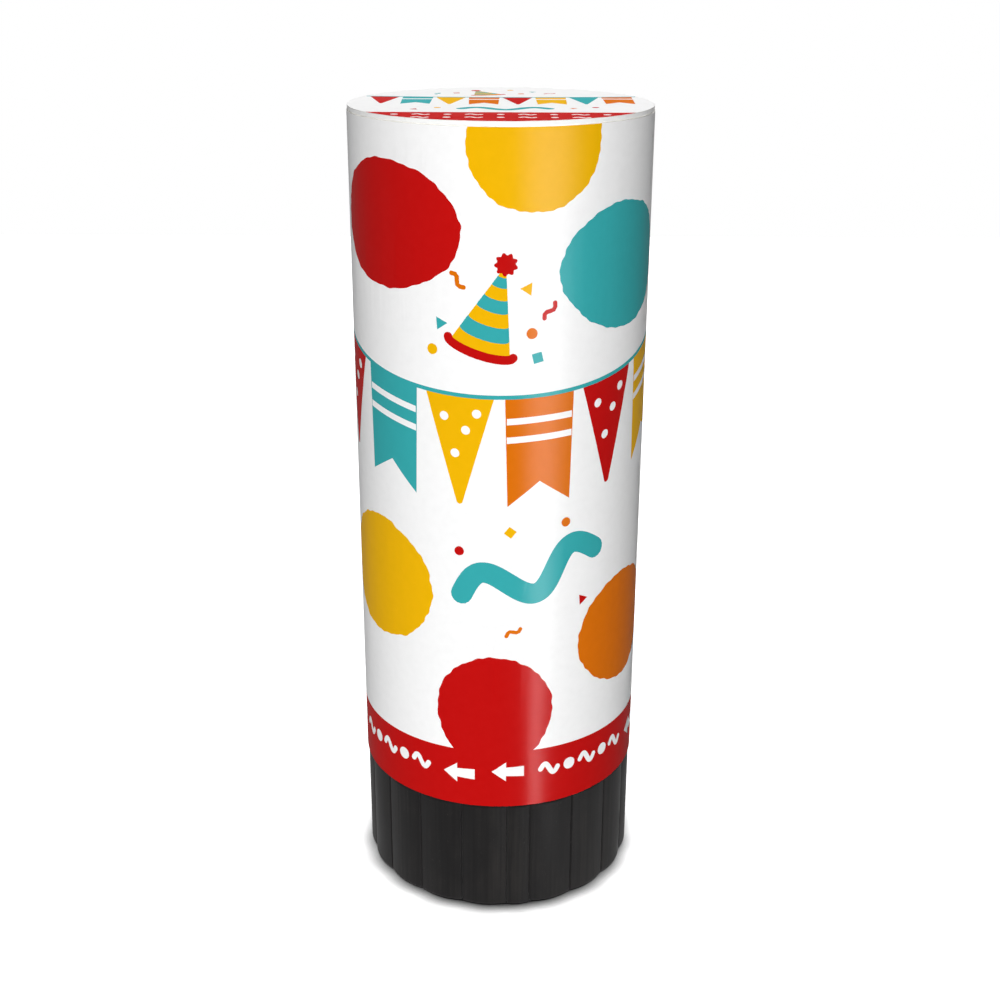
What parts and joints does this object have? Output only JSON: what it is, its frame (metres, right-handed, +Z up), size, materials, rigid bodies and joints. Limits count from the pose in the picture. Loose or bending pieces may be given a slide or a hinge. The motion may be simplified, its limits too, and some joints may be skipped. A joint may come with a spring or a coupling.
{
  "type": "confetti popper",
  "caption": "Hand-held spring confetti popper: printed cardboard tube with a peel-off disc, on a ribbed twist base that releases the plunger.",
  "frame": {"origin": "centre of the circle the popper stands on, under the twist base", "axes": "+Z up along the tube towards the mouth, -Y towards the front of the printed label, +X to the right seen from the front"},
  "size_m": [0.042, 0.042, 0.1164],
  "materials": {
    "cardboard": "wound brown cardboard, matt",
    "printed_label": "white paper printed in red, yellow, teal and orange, glossy varnish",
    "grey_board": "grey-brown board, matt, cut edges",
    "collar_plastic": "moulded dark grey plastic",
    "spring_steel": "drawn wire, bright",
    "black_plastic": "moulded black plastic, satin, fine scuffs",
    "white_plastic": "moulded natural plastic",
    "red_paper": "loose tissue paper rounds",
    "yellow_paper": "loose tissue paper rounds",
    "teal_paper": "loose tissue paper rounds",
    "orange_paper": "loose tissue paper rounds",
    "adhesive": "dried white glue",
    "white_card": "white card, cut edge",
    "printed_disc": "white paper printed in red, yellow, teal and orange, glossy varnish"
  },
  "bodies": {
    "barrel": {"tube": "cardboard", "label": "printed_label", "stop_ring": "grey_board", "collar": "collar_plastic", "retaining_ring": "spring_steel", "confetti_red": "red_paper", "confetti_yellow": "yellow_paper", "confetti_teal": "teal_paper", "confetti_orange": "orange_paper"},
    "grip_base": {"twist_base": "black_plastic", "base_cover": "black_plastic", "release_cam": "collar_plastic"},
    "piston": {"plunger": "white_plastic", "plunger_rod": "white_plastic", "latch_fork": "white_plastic", "wad": "grey_board", "spring": "spring_steel"},
    "seal": {"seal_adhesive": "adhesive", "seal_card": "white_card", "seal_print": "printed_disc"}
  },
  "joints": [
    {"name": "base_twist", "type": "hinge", "parent": "barrel", "child": "grip_base", "pos_m": [0, 0, 0.00875], "axis": [0, 0, -1], "range_deg": [0, 90]},
    {"name": "piston_slide", "type": "slide", "parent": "barrel", "child": "piston", "axis": [0, 0, 1], "range_m": [0, 0.0652], "deforming": ["spring", "latch_fork", "confetti_red", "confetti_yellow", "confetti_teal", "confetti_orange"]},
    {"name": "seal_lift", "type": "slide", "parent": "barrel", "child": "seal", "axis": [0, 0, 1], "range_m": [0, 0.04]}
  ]
}
